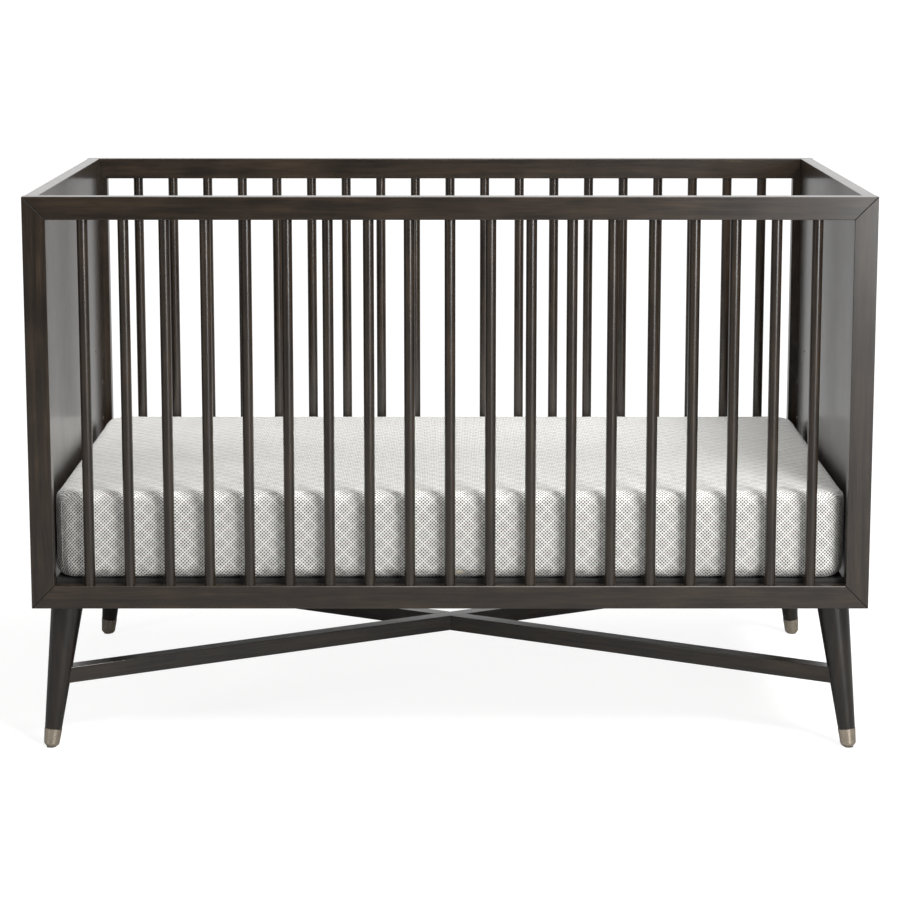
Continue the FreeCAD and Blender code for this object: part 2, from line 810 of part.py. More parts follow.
def cross_wires():
    end = support_half_depth - TUBE_WIDTH
    side = support_half_length - WIRE_MARGIN
    places = spaced(CROSS_WIRES, -side, side)
    return [rod(WIRE_DIAMETER, vec(x, -end, cross_wire_z), vec(x, end, cross_wire_z)) for x in places]


def hook(side, face):
    """A plate with a slot open at the bottom, and a tab welded to the end tube."""
    screw_y = face * (inner_depth - LEVEL_FROM_FRAME)
    outer_x = side * (inner_length - HOOK_PANEL_GAP)
    inner_x = side * hook_inner_x
    outer_y = screw_y + face * HOOK_OUTER_WIDTH
    inner_y = screw_y - face * HOOK_INNER_WIDTH
    plate = box_between((inner_x, inner_y, tube_bottom), (outer_x, outer_y, LOWEST_LEVEL + HOOK_TOP_ABOVE_SCREW))
    tab = box_between(
        (side * support_half_length, inner_y, tube_bottom),
        (outer_x, inner_y + face * HOOK_TAB_WIDTH, tube_bottom + HOOK_TAB_THICKNESS),
    )
    slot_half = SHOULDER_DIAMETER / 2 + HOOK_SLOT_EASE
    slot_centre = LOWEST_LEVEL - HOOK_SLOT_EASE + BODY_CLEARANCE
    slot = box_between(
        (inner_x, screw_y - slot_half, tube_bottom),
        (outer_x, screw_y + slot_half, slot_centre),
    )
    crown = rod(2 * slot_half, vec(inner_x, screw_y, slot_centre), vec(outer_x, screw_y, slot_centre))
    return plate.fuse(tab).removeSplitter().cut([slot, crown])


# Mattress and fitted sheet

mattress_half_length = inner_length - MATTRESS_END_CLEARANCE
mattress_half_depth = inner_depth - MATTRESS_SIDE_CLEARANCE
mattress_bottom = DECK_TOP + BODY_CLEARANCE
mattress_top = mattress_bottom + MATTRESS_THICKNESS


def cushion(inset):
    """The mattress's rounded outline, drawn in by a distance on every side."""
    half_x = mattress_half_length - inset
    half_y = mattress_half_depth - inset
    low = mattress_bottom + inset
    high = mattress_top - inset
    block = box((-half_x, -half_y, low), (half_x, half_y, high))
    upright = [edge for edge in block.Edges if abs(edge.Vertexes[0].Z - edge.Vertexes[1].Z) > 1]
    block = block.makeFillet(MATTRESS_CORNER_RADIUS - inset, upright)
    rims = []
    for edge in block.Edges:
        ends = [vertex.Z for vertex in edge.Vertexes]
        if max(ends) - min(ends) < 1:
            rims.append(edge)
    return block.makeFillet(MATTRESS_EDGE_RADIUS - inset, rims)


cover_inset = SHEET_THICKNESS + SHEET_EASE
filling_inset = cover_inset + COVER_THICKNESS + FILLING_GAP
filling_low = mattress_bottom + filling_inset
filling_high = mattress_top - filling_inset
coils_low = filling_low + BOTTOM_PAD_THICKNESS + FILLING_GAP
coils_high = filling_high - TOP_PAD_THICKNESS - FILLING_GAP


def mattress_cover():
    """A quilted ticking case, closed all round."""
    return cushion(cover_inset).cut(cushion(cover_inset + COVER_THICKNESS))


def filling_layer(low, high):
    """A slice of the space inside the cover, between two heights."""
    slab = box((-mattress_half_length, -mattress_half_depth, low), (mattress_half_length, mattress_half_depth, high))
    return cushion(filling_inset).common(slab)


def top_pad():
    return filling_layer(filling_high - TOP_PAD_THICKNESS, filling_high)


def bottom_pad():
    return filling_layer(filling_low, filling_low + BOTTOM_PAD_THICKNESS)


def coil_field():
    """Half sizes of the space for the coils, inside the border foam."""
    inset = filling_inset + BORDER_FOAM_WIDTH
    return mattress_half_length - inset, mattress_half_depth - inset


def border_foam():
    half_x, half_y = coil_field()
    inside = box((-half_x, -half_y, coils_low - 1), (half_x, half_y, coils_high + 1))
    return filling_layer(coils_low, coils_high).cut(inside)


def pocketed_coils():
    """The fabric pockets of the coils, in rows as close as their gap allows."""
    half_x, half_y = coil_field()
    pitch = COIL_DIAMETER + COIL_LEAST_GAP
    radius = COIL_DIAMETER / 2
    end_x = half_x - radius - COIL_LEAST_GAP
    end_y = half_y - radius - COIL_LEAST_GAP
    columns = spaced(int(2 * end_x / pitch) + 1, -end_x, end_x)
    rows = spaced(int(2 * end_y / pitch) + 1, -end_y, end_y)
    pockets = []
    for x in columns:
        for y in rows:
            start = vec(x, y, coils_low)
            end = vec(x, y, coils_high)
            bore = COIL_DIAMETER - 2 * COIL_POCKET_THICKNESS
            pockets.append(rod(COIL_DIAMETER, start, end).cut(rod(bore, start, end)))
    return pockets


def fitted_sheet():
    """A thin cover over top and sides, tucked a short way under the bottom."""
    tuck_x = mattress_half_length - SHEET_TUCK
    tuck_y = mattress_half_depth - SHEET_TUCK
    mouth = box(
        (-tuck_x, -tuck_y, mattress_bottom - SHEET_THICKNESS),
        (tuck_x, tuck_y, mattress_bottom + 2 * SHEET_THICKNESS),
    )
    return cushion(0).cut([cushion(SHEET_THICKNESS), mouth])


def corners():
    return [(side, face) for side in (-1, 1) for face in (-1, 1)]


def build():
    os.makedirs("parts", exist_ok=True)
    for face_name, face in FACES.items():
        y = face * side_middle
        save(f"{face_name}_top_rail", [top_rail(face)])
        save(f"{face_name}_bottom_rail", [bottom_rail(face)])
        save(f"{face_name}_spindles", [spindle(x, y) for x in spindle_places()])
        save(f"{face_name}_support_tube", [long_tube(face)])
        for side_name, side in SIDES.items():
            save(f"{face_name}_{side_name}_stile", [stile(side, face)])
            save(f"{face_name}_{side_name}_leg", [leg(side, face)])
            save(f"{face_name}_{side_name}_ferrule", [ferrule(side, face)])
            save(f"{face_name}_{side_name}_glide", [glide(side, face)])
            save(f"{face_name}_{side_name}_corner_block", [corner_block(side, face)])
            save(f"{face_name}_{side_name}_hook", [hook(side, face)])
    for side_name, side in SIDES.items():
        save(f"{side_name}_end_panel", [end_panel(side)])
        save(f"{side_name}_support_tube", [end_tube(side)])
    dowels = [rod(DOWEL_DIAMETER, *ends) for face in (-1, 1) for ends in mitre_dowels(face * side_middle)]
    save("mitre_dowels", dowels)
    cams = [(side, face, z) for side, face in corners() for z in cam_heights()]
    save("cam_bolts", [cam_bolt(*place) for place in cams])
    save("cam_locks", [cam(*place) for place in cams])
    pegs = [panel_dowel(side, face, z) for side, face in corners() for z in panel_dowel_heights()]
    save("panel_dowels", [rod(DOWEL_DIAMETER, *ends) for ends in pegs])
    inserts = []
    for side, face in corners():
        inserts += [threaded_insert(side, *place) for place in insert_places(face)]
    save("threaded_inserts", inserts)
    save("shoulder_screws", [shoulder_screw(*corner) for corner in corners()])
    save("leg_hanger_bolts", [hanger_bolt(*corner) for corner in corners()])
    save("leg_inserts", [leg_insert(*corner) for corner in corners()])
    screws = []
    for corner in corners():
        screws += [wood_screw(*ends) for ends in rail_screws(*corner) + panel_screws(*corner)]
    save("corner_block_screws", screws)
    save("stretcher_rising", [stretcher(1)])
    save("stretcher_falling", [stretcher(-1)])
    save("stretcher_dowels", [rod(STRETCHER_DOWEL_DIAMETER, *stretcher_dowel(*corner)) for corner in corners()])
    save("lap_screw", [lap_screw()])
    save("support_cross_bars", cross_bars())
    save("support_long_wires", long_wires())
    save("support_cross_wires", cross_wires())
    save("mattress_cover", [mattress_cover()])
    save("mattress_top_pad", [top_pad()])
    save("mattress_bottom_pad", [bottom_pad()])
    save("mattress_border_foam", [border_foam()])
    save("mattress_coils", pocketed_coils())
    save("fitted_sheet", [fitted_sheet()])


build()
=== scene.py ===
"""The looks of the baby crib: stained case, turned legs, steel base, fitted sheet."""

import json
import logging
import math
from dataclasses import dataclass, field
from enum import Enum

import bmesh
import bpy
from mathutils import Matrix, Vector, noise
from mathutils.bvhtree import BVHTree

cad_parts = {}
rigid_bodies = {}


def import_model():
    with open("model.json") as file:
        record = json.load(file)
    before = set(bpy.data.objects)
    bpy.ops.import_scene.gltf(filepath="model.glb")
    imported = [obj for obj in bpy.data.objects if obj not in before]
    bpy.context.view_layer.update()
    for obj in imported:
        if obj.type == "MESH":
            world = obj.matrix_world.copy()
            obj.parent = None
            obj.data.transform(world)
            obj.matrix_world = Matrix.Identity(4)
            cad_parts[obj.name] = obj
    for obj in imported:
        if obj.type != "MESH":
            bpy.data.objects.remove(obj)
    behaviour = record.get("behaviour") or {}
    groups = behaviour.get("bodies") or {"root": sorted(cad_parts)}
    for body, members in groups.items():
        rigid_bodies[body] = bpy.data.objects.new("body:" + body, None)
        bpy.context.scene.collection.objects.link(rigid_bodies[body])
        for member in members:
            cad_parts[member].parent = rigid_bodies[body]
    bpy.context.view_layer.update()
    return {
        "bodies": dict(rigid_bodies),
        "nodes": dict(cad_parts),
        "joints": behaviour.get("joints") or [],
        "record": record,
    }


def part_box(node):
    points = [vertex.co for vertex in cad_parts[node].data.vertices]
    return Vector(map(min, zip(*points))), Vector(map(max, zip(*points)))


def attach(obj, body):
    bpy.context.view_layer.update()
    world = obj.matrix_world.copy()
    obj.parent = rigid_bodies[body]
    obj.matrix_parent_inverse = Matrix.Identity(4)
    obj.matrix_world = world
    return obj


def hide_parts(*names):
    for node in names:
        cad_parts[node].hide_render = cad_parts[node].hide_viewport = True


LOG = logging.getLogger("crib")
MM = 0.001

Inputs = dict[str | int, object]
Material = bpy.types.Material
Piece = bpy.types.Object
Socket = bpy.types.NodeSocket
Tree = bpy.types.NodeTree
Triple = tuple[float, float, float]


# ---------------------------------------------------------------- small helpers


def linear(code: str) -> tuple[float, float, float, float]:
    """Turns an sRGB hex colour into linear light.

    Args:
        code: The colour, such as "#3A3026".

    Returns:
        Red, green, blue and a full alpha.
    """
    shares = [int(code[i : i + 2], 16) / 255 for i in (1, 3, 5)]
    lit = [c / 12.92 if c <= 0.04045 else ((c + 0.055) / 1.055) ** 2.4 for c in shares]
    return (lit[0], lit[1], lit[2], 1.0)


def add(
    tree: Tree,
    kind: str,
    settings: dict[str, object] | None = None,
    inputs: Inputs | None = None,
    out: str | int = 0,
) -> Socket:
    """Adds a node with its settings, values and links.

    Args:
        tree: The node tree that gets it.
        kind: The node's type, without "ShaderNode".
        settings: Properties of the node itself.
        inputs: Socket names or places, each with a value or the socket that feeds it.
        out: The name or place of the output that is wanted.

    Returns:
        That output of the new node.
    """
    node = tree.nodes.new("ShaderNode" + kind)
    for name, value in (settings or {}).items():
        setattr(node, name, value)
    for name, value in (inputs or {}).items():
        if isinstance(value, Socket):
            tree.links.new(value, node.inputs[name])
        else:
            node.inputs[name].default_value = value
    return node.outputs[out]


def blank_material(name: str) -> tuple[Material, Tree]:
    """Makes a material whose node tree is empty.

    Args:
        name: The material's name.

    Returns:
        The material and its node tree.
    """
    material = bpy.data.materials.new(name)
    material.use_nodes = True
    material.node_tree.nodes.clear()
    return material, material.node_tree


def finish_surface(tree: Tree, inputs: Inputs) -> None:
    """Ends a node tree in one Principled shader.

    Args:
        tree: The material's node tree.
        inputs: Values and links of the shader.
    """
    end = tree.nodes.new("ShaderNodeOutputMaterial")
    tree.links.new(add(tree, "BsdfPrincipled", inputs=inputs), end.inputs["Surface"])


def two_tone_surface(
    tree: Tree,
    tones: tuple[str, str],
    share: Inputs,
    rough: Inputs,
    relief: Inputs,
    others: Inputs,
) -> None:
    """Ends a node tree in a surface of two tones with uneven gloss and relief.

    Args:
        tree: The material's node tree.
        tones: The hex colours at no share and at a full share.
        share: What maps a pattern to the share of the second tone.
        rough: What maps a pattern to the roughness.
        relief: What raises the relief.
        others: Further values of the shader.
    """
    part = add(tree, "MapRange", inputs=share)
    first, second = (linear(tone) for tone in tones)
    colour = add(
        tree, "Mix", {"data_type": "RGBA"}, {0: part, 6: first, 7: second}, out=2
    )
    surface: Inputs = {
        "Base Color": colour, "Roughness": add(tree, "MapRange", inputs=rough),
        "Normal": add(tree, "Bump", inputs=relief),
    }
    finish_surface(tree, surface | others)


def dress(obj: Piece, material: Material) -> None:
    """Gives every slot of an object one material."""
    if not obj.material_slots:
        obj.data.materials.append(material)
    for slot in obj.material_slots:
        slot.material = material


def link_mesh(name: str, mesh: bpy.types.Mesh) -> Piece:
    """Puts a mesh in the scene as a smooth-shaded object at the origin."""
    obj = bpy.data.objects.new(name, mesh)
    bpy.context.scene.collection.objects.link(obj)
    for face in mesh.polygons:
        face.use_smooth = True
    return obj


def object_of(bm: bmesh.types.BMesh, name: str) -> Piece:
    """Turns a finished bmesh into an object in the scene."""
    mesh = bpy.data.meshes.new(name)
    bm.to_mesh(mesh)
    bm.free()
    return link_mesh(name, mesh)


def settle_modifiers(obj: Piece) -> None:
    """Applies an object's modifiers to its mesh."""
    bpy.context.view_layer.update()
    depsgraph = bpy.context.evaluated_depsgraph_get()
    mesh = bpy.data.meshes.new_from_object(obj.evaluated_get(depsgraph))
    obj.modifiers.clear()
    obj.data = mesh


# ---------------------------------------------------------------- finishes


class Grain(Enum):
    """The way the fibres of a member run, as the turn that lays them along X."""

    LENGTHWISE = (0.0, 0.0, 0.0)
    UPRIGHT = (0.0, math.pi / 2, 0.0)


@dataclass(frozen=True)
class StainedWood:
    """Close-grained hardwood, sanded, stained dark brown, sprayed with satin lacquer.

    The stain sinks unevenly, so the eye sees long soft streaks, fine pores, and corners
    that the sanding left a little paler, with a painted highlight along them, under an
    even, slightly soft gloss.
    """

    streak_width: float = 9 * MM
    streak_length: float = 160 * MM
    fibre_width: float = 2.2 * MM
    fibre_length: float = 45 * MM
    cloud: float = 70 * MM
    rubbed_and_highlit_edge: float = 1.6 * MM
    mitre_line: float = 0.8 * MM
    mitres_beyond: float = 0.4
    # Near-black painted shade for the mitre hairlines, in place of the shade in the
    # joint's eased edges.
    painted_mitre_shade: str = "#050403"
    coat: float = 0.6
    dark: str = "#19120C"
    light: str = "#33281D"
    # Paler tone of the edges: stain rubbed thin, and a painted highlight.
    rubbed_and_highlit: str = "#4A4036"

    def material(
        self,
        name: str,
        turn: Triple,
        seed: int,
        mitres: tuple[float, float] | None = None,
    ) -> Material:
        """Builds the wood of one member.

        Args:
            name: The member's name.
            turn: The turn that lays its grain along X.
            seed: A number that gives it a stretch of timber of its own.
            mitres: For a mitred member, what its upper mitres have in |X| - Z and its
                lower ones in |X| + Z.

        Returns:
            The material.
        """
        material, tree = blank_material("stained_lacquered_wood_" + name)
        place = add(tree, "TexCoord", out="Object")
        shift = (0.618 * seed % 1 * 3, 0.414 * seed % 1 * 3, 0.732 * seed % 1 * 3)
        laid = add(
            tree, "Mapping",
            inputs={"Vector": place, "Rotation": turn, "Location": shift},
        )
        streaks = self.grain(tree, laid, self.streak_length, self.streak_width, 3.0)
        fibres = self.grain(tree, laid, self.fibre_length, self.fibre_width, 2.0)
        clouds = add(
            tree, "TexNoise",
            inputs={"Vector": laid, "Scale": 1 / self.cloud, "Detail": 2.0},
        )
        depth = add(
            tree, "MapRange",
            inputs={"Value": streaks, "From Min": 0.3, "From Max": 0.72},
        )
        stain = add(
            tree, "Mix", {"data_type": "RGBA"},
            {0: depth, 6: linear(self.dark), 7: linear(self.light)}, out=2
        )
        pores = add(tree, "MapRange", inputs={
            "Value": fibres, "From Min": 0.3, "From Max": 0.62, "To Min": 0.62,
            "To Max": 1.12,
        })
        uneven = add(tree, "MapRange", inputs={
            "Value": clouds, "From Min": 0.3, "From Max": 0.7, "To Min": 0.8,
            "To Max": 1.22,
        })
        strength = add(tree, "Math", {"operation": "MULTIPLY"}, {0: pores, 1: uneven})
        toned = add(
            tree, "VectorMath", {"operation": "SCALE"},
            {"Vector": stain, "Scale": strength},
        )
        # Edges mixed paler: stain rubbed thin by sanding, and a painted highlight on
        # the eased edges.
        colour = add(
            tree, "Mix", {"data_type": "RGBA"},
            {0: self.edges(tree, fibres), 6: toned, 7: linear(self.rubbed_and_highlit)}, out=2
        )
        gloss = add(
            tree, "MapRange", inputs={"Value": clouds, "To Min": 0.27, "To Max": 0.36}
        )
        coat: float | Socket = self.coat
        # Painted shade along the mitres: near-black colour, the coat taken off and the
        # gloss dulled.
        if mitres:
            line = self.painted_mitre_shade_mask(tree, place, mitres)
            colour = add(
                tree, "Mix", {"data_type": "RGBA"},
                {0: line, 6: colour, 7: linear(self.painted_mitre_shade)}, out=2
            )
            gloss = add(tree, "Math", {"operation": "MAXIMUM"}, {0: gloss, 1: line})
            coat = add(
                tree, "MapRange",
                inputs={"Value": line, "To Min": self.coat, "To Max": 0.0},
            )
        relief = add(
            tree, "Bump",
            inputs={"Height": fibres, "Strength": 0.12, "Distance": 0.3 * MM},
        )
        finish_surface(
            tree,
            {
                "Base Color": colour, "Roughness": gloss, "Normal": relief, "IOR": 1.5,
                "Coat Weight": coat, "Coat Roughness": 0.15, "Coat IOR": 1.5,
            },
        )
        return material

    def painted_mitre_shade_mask(
        self, tree: Tree, place: Socket, mitres: tuple[float, float]
    ) -> Socket:
        """Finds the hairline where two mitred members meet, and paints shade there:
        dark and dull.

        Args:
            tree: The material's node tree.
            place: Object coordinates.
            mitres: Where the upper and the lower mitres lie, as material() has it.

        Returns:
            How much painted shade a point gets, 0 to nearly 1.
        """
        across, _, up = add(tree, "SeparateXYZ", inputs={"Vector": place}).node.outputs
        out = add(tree, "Math", {"operation": "ABSOLUTE"}, {0: across})
        away = []
        for way, level in zip(("SUBTRACT", "ADD"), mitres, strict=True):
            along = add(tree, "Math", {"operation": way}, {0: out, 1: up})
            off = add(tree, "Math", {"operation": "SUBTRACT"}, {0: along, 1: level})
            away.append(add(tree, "Math", {"operation": "ABSOLUTE"}, {0: off}))
        nearest = add(tree, "Math", {"operation": "MINIMUM"}, {0: away[0], 1: away[1]})
        dark = add(tree, "MapRange", inputs={
            "Value": nearest, "From Min": self.mitre_line,
            "From Max": 2 * self.mitre_line, "To Min": 0.9, "To Max": 0.0,
        })
        corner = add(
            tree, "Math", {"operation": "GREATER_THAN"}, {0: out, 1: self.mitres_beyond}
        )
        return add(tree, "Math", {"operation": "MULTIPLY"}, {0: dark, 1: corner})

    def grain(
        self, tree: Tree, laid: Socket, length: float, width: float, detail: float
    ) -> Socket:
        """Draws noise that is long along the fibres and narrow across them.

        Args:
            tree: The material's node tree.
            laid: Coordinates with the fibres along X.
            length: How long a streak is, in metres.
            width: How wide it is.
            detail: How many finer layers it has.

        Returns:
            The noise, about 0.3 to 0.7.
        """
        squeezed = add(
            tree, "Mapping",
            inputs={"Vector": laid, "Scale": (1 / length, 1 / width, 1 / width)},
        )
        return add(tree, "TexNoise", inputs={
            "Vector": squeezed, "Scale": 1.0, "Detail": detail, "Distortion": 0.35
        })

    def edges(self, tree: Tree, fibres: Socket) -> Socket:
        """Finds the corners that sanding and handling rub paler, with a painted
        highlight there too.

        Args:
            tree: The material's node tree.
            fibres: The fine grain, which breaks the line up.

        Returns:
            How much rubbing and painted highlight the surface gets, 0 to about a half.
        """
        rounded = add(tree, "Bevel", {"samples": 4}, {"Radius": self.rubbed_and_highlit_edge})
        flat = add(tree, "NewGeometry", out="Normal")
        facing = add(
            tree, "VectorMath", {"operation": "DOT_PRODUCT"}, {0: rounded, 1: flat},
            out="Value",
        )
        bent = add(tree, "MapRange", inputs={
            "Value": facing, "From Min": 0.995, "From Max": 0.9, "To Max": 0.75
        })
        return add(tree, "Math", {"operation": "MULTIPLY"}, {0: bent, 1: fibres})


@dataclass(frozen=True)
class RawBeech:
    """Beech dowel rod, turned and left bare: pale, matt, with short brown flecks."""

    fleck_length: float = 6 * MM
    fleck_width: float = 0.9 * MM
    pale: str = "#D2B184"
    fleck: str = "#A37A4E"

    def material(self, turn: Triple) -> Material:
        """Builds the bare beech with its fibres turned to run along X."""
        material, tree = blank_material("bare_beech")
        place = add(tree, "TexCoord", out="Object")
        laid = add(tree, "Mapping", inputs={"Vector": place, "Rotation": turn})
        squeezed = add(tree, "Mapping", inputs={
            "Vector": laid,
            "Scale": (1 / self.fleck_length, *[1 / self.fleck_width] * 2),
        })
        flecks = add(
            tree, "TexNoise", inputs={"Vector": squeezed, "Scale": 1.0, "Detail": 2.0}
        )
        two_tone_surface(
            tree,
            (self.pale, self.fleck),
            {"Value": flecks, "From Min": 0.5, "From Max": 0.68},
            {"Value": flecks, "To Min": 0.6, "To Max": 0.8},
            {"Height": flecks, "Strength": 0.3, "Distance": 0.1 * MM},
            {"IOR": 1.5},
        )
        return material


@dataclass(frozen=True)
class WorkedMetal:
    """A metal skin whose fine lines, stains and handling show as changes of gloss.

    Brushed nickel has turned lines round it and a warm tone; zinc plate is bluish and
    blotched by its crystals.
    """

    name: str
    tone: str
    stain: str
    line_spacing: float
    line_squash: Triple
    smoothest: float
    roughest: float
    blotch: float = 9 * MM
    anisotropy: float = 0.0

    def material(self) -> Material:
        """Builds the metal."""
        material, tree = blank_material(self.name)
        place = add(tree, "TexCoord", out="Object")
        squeezed = add(
            tree, "Mapping", inputs={"Vector": place, "Scale": self.line_squash}
        )
        lines = add(tree, "TexNoise", inputs={
            "Vector": squeezed, "Scale": 1 / self.line_spacing, "Detail": 2.0
        })
        blotches = add(
            tree, "TexNoise",
            inputs={"Vector": place, "Scale": 1 / self.blotch, "Detail": 3.0},
        )
        mixed = add(tree, "Math", {"operation": "ADD"}, {0: lines, 1: blotches})
        others: Inputs = {"Metallic": 1.0}
        if self.anisotropy:
            others["Anisotropic"] = self.anisotropy
            others["Anisotropic Rotation"] = 0.25
            others["Tangent"] = add(
                tree, "Tangent", {"direction_type": "RADIAL", "axis": "Z"}
            )
        two_tone_surface(
            tree,
            (self.tone, self.stain),
            {"Value": blotches, "From Min": 0.42, "From Max": 0.75, "To Max": 0.7},
            {
                "Value": mixed, "From Min": 0.7, "From Max": 1.3,
                "To Min": self.smoothest, "To Max": self.roughest,
            },
            {"Height": lines, "Strength": 0.25, "Distance": 0.04 * MM},
            others,
        )
        return material


@dataclass(frozen=True)
class CastSkin:
    """A coating or a moulding, with the fine orange peel of powder or a cut mould."""

    name: str
    colour: str
    worn: str
    grain: float
    smoothest: float
    roughest: float

    def material(self) -> Material:
        """Builds the skin."""
        material, tree = blank_material(self.name)
        place = add(tree, "TexCoord", out="Object")
        peel = add(
            tree, "TexNoise",
            inputs={"Vector": place, "Scale": 1 / self.grain, "Detail": 2.0},
        )
        scuffs = add(
            tree, "TexNoise",
            inputs={"Vector": place, "Scale": 1 / (25 * MM), "Detail": 5.0},
        )
        two_tone_surface(
            tree,
            (self.colour, self.worn),
            {"Value": scuffs, "From Min": 0.5, "From Max": 0.85, "To Max": 0.6},
            {
                "Value": scuffs, "From Min": 0.3, "From Max": 0.7,
                "To Min": self.smoothest, "To Max": self.roughest,
            },
            {"Height": peel, "Strength": 0.3, "Distance": 0.08 * MM},
            {"IOR": 1.5},
        )
        return material


@dataclass(frozen=True)
class OpenFilling:
    """Felted fibre or foam: cream, dull, with cells or hairs of about a millimetre."""

    name: str
    colour: str
    shade: str
    cell: float

    def material(self) -> Material:
        """Builds the filling."""
        material, tree = blank_material(self.name)
        place = add(tree, "TexCoord", out="Object")
        cells = add(
            tree, "TexVoronoi", inputs={"Vector": place, "Scale": 1 / self.cell}
        )
        clumps = add(
            tree, "TexNoise",
            inputs={"Vector": place, "Scale": 1 / (14 * MM), "Detail": 4.0},
        )
        two_tone_surface(
            tree,
            (self.shade, self.colour),
            {"Value": clumps},
            {"Value": clumps, "To Min": 0.85, "To Max": 0.98},
            {"Height": cells, "Strength": 0.5, "Distance": 0.5 * MM},
            {"Sheen Weight": 0.2, "IOR": 1.45},
        )
        return material


@dataclass(frozen=True)
class PrintedCotton:
    """Plain-woven cotton sheeting with a print of small warm-grey lozenges.

    The dots stand on a lattice turned half a right angle, and every fifth row across
    both ways is finer, so that larger lozenges show faintly. The weave, about 0.3 mm in
    such cloth, is drawn at twice that so that it shows.
    """

    dot_pitch: float = 4.17 * MM
    dots_in_lozenge: int = 5
    dot_share: float = 0.35
    thread: float = 0.6 * MM
    cloth: str = "#F7F6F2"
    print: str = "#302B24"

    def material(self) -> Material:
        """Builds the printed cloth from the sheet's UV map, which is in metres."""
        material, tree = blank_material("printed_cotton_percale")
        flat = add(tree, "UVMap", {"uv_map": "cut"})
        turned = add(
            tree, "Mapping",
            inputs={"Vector": flat, "Rotation": (0.0, 0.0, math.pi / 4)},
        )
        ink = self.dots(tree, turned)
        weave = self.threads(tree, flat)
        crumple = add(
            tree, "TexNoise",
            inputs={"Vector": flat, "Scale": 1 / (55 * MM), "Detail": 3.0},
        )
        faded = add(
            tree, "MapRange", inputs={"Value": crumple, "To Min": 0.8, "To Max": 1.0}
        )
        share = add(tree, "Math", {"operation": "MULTIPLY"}, {0: ink, 1: faded})
        printed = add(
            tree, "Mix", {"data_type": "RGBA"},
            {0: share, 6: linear(self.cloth), 7: linear(self.print)}, out=2
        )
        # Painted shade between the threads of the weave.
        weave_painted_shade = add(
            tree, "MapRange", inputs={"Value": weave, "To Min": 0.93, "To Max": 1.0}
        )
        colour = add(
            tree, "VectorMath", {"operation": "SCALE"},
            {"Vector": printed, "Scale": weave_painted_shade},
        )
        soft = add(
            tree, "Bump",
            inputs={"Height": crumple, "Strength": 0.35, "Distance": 5 * MM},
        )
        relief = add(tree, "Bump", inputs={
            "Height": weave, "Strength": 0.35, "Distance": 0.15 * MM, "Normal": soft
        })
        rough = add(
            tree, "MapRange", inputs={"Value": weave, "To Min": 0.78, "To Max": 0.9}
        )
        finish_surface(
            tree,
            {
                "Base Color": colour, "Roughness": rough, "Normal": relief, "IOR": 1.45,
                "Sheen Weight": 0.25, "Sheen Roughness": 0.4,
            },
        )
        return material

    def dots(self, tree: Tree, turned: Socket) -> Socket:
        """Draws the printed lozenges.

        Args:
            tree: The material's node tree.
            turned: The cloth's coordinates, turned half a right angle.

        Returns:
            How much ink there is, 0 to 1.
        """
        near = self.from_middle(tree, turned, self.dot_pitch)
        far = self.from_middle(tree, turned, self.dot_pitch * self.dots_in_lozenge)
        size = add(tree, "MapRange", inputs={
            "Value": far, "From Min": 0.36, "From Max": 0.42, "To Min": self.dot_share,
            "To Max": self.dot_share * 0.84,
        })
        inside = add(tree, "Math", {"operation": "SUBTRACT"}, {0: size, 1: near})
        return add(
            tree, "MapRange", {"interpolation_type": "SMOOTHSTEP"},
            {"Value": inside, "From Min": -0.03, "From Max": 0.03},
        )

    def from_middle(self, tree: Tree, turned: Socket, pitch: float) -> Socket:
        """Measures how far a point is from the middle of its square of the lattice.

        Args:
            tree: The material's node tree.
            turned: The cloth's turned coordinates.
            pitch: The size of a square, in metres.

        Returns:
            The larger of the two distances, where 0.5 is the edge of the square.
        """
        cells = add(
            tree, "VectorMath", {"operation": "SCALE"},
            {"Vector": turned, "Scale": 1 / pitch},
        )
        part = add(tree, "VectorMath", {"operation": "FRACTION"}, {"Vector": cells})
        centred = add(
            tree, "VectorMath", {"operation": "SUBTRACT"}, {0: part, 1: (0.5, 0.5, 0.5)}
        )
        away = add(tree, "VectorMath", {"operation": "ABSOLUTE"}, {"Vector": centred})
        along, across, _ = add(
            tree, "SeparateXYZ", inputs={"Vector": away}
        ).node.outputs
        return add(
            tree, "Math", {"operation": "SMOOTH_MAX"}, {0: along, 1: across, 2: 0.12}
        )

    def threads(self, tree: Tree, flat: Socket) -> Socket:
        """Draws the plain weave as warp and weft that cross.

        Args:
            tree: The material's node tree.
            flat: The cloth's coordinates in metres.

        Returns:
            The height of the threads, 0 to 1.
        """
        bands = [
            add(tree, "TexWave", {"bands_direction": way}, {
                "Vector": flat, "Scale": 0.314 / self.thread, "Distortion": 0.6,
                "Detail": 1.0,
            }, out="Fac")
            for way in ("X", "Y")
        ]
        return add(tree, "Math", {"operation": "MULTIPLY"}, {0: bands[0], 1: bands[1]})


@dataclass(frozen=True)
class SewnEdge:
    """Folded and overlocked cotton: seam allowance and hem, plain cloth with stitches.

    The stitches are 3 mm apart, and pull small dimples into the fold.
    """

    stitch: float = 3 * MM
    colour: str = "#D6D3CC"
    thread: str = "#B9B5AC"

    def material(self, piece: str) -> Material:
        """Builds the folded cloth of one seam or hem."""
        material, tree = blank_material("overlocked_cotton_" + piece)
        place = add(tree, "TexCoord", out="Object")
        dimples = add(
            tree, "TexVoronoi",
            inputs={"Vector": place, "Scale": 1 / self.stitch, "Randomness": 0.35},
        )
        two_tone_surface(
            tree,
            (self.thread, self.colour),
            {"Value": dimples, "From Min": 0.2, "From Max": 0.5},
            {"Value": dimples, "To Min": 0.75, "To Max": 0.92},
            {"Height": dimples, "Strength": 0.5, "Distance": 0.4 * MM},
            {"IOR": 1.45, "Sheen Weight": 0.25, "Sheen Roughness": 0.4},
        )
        return material


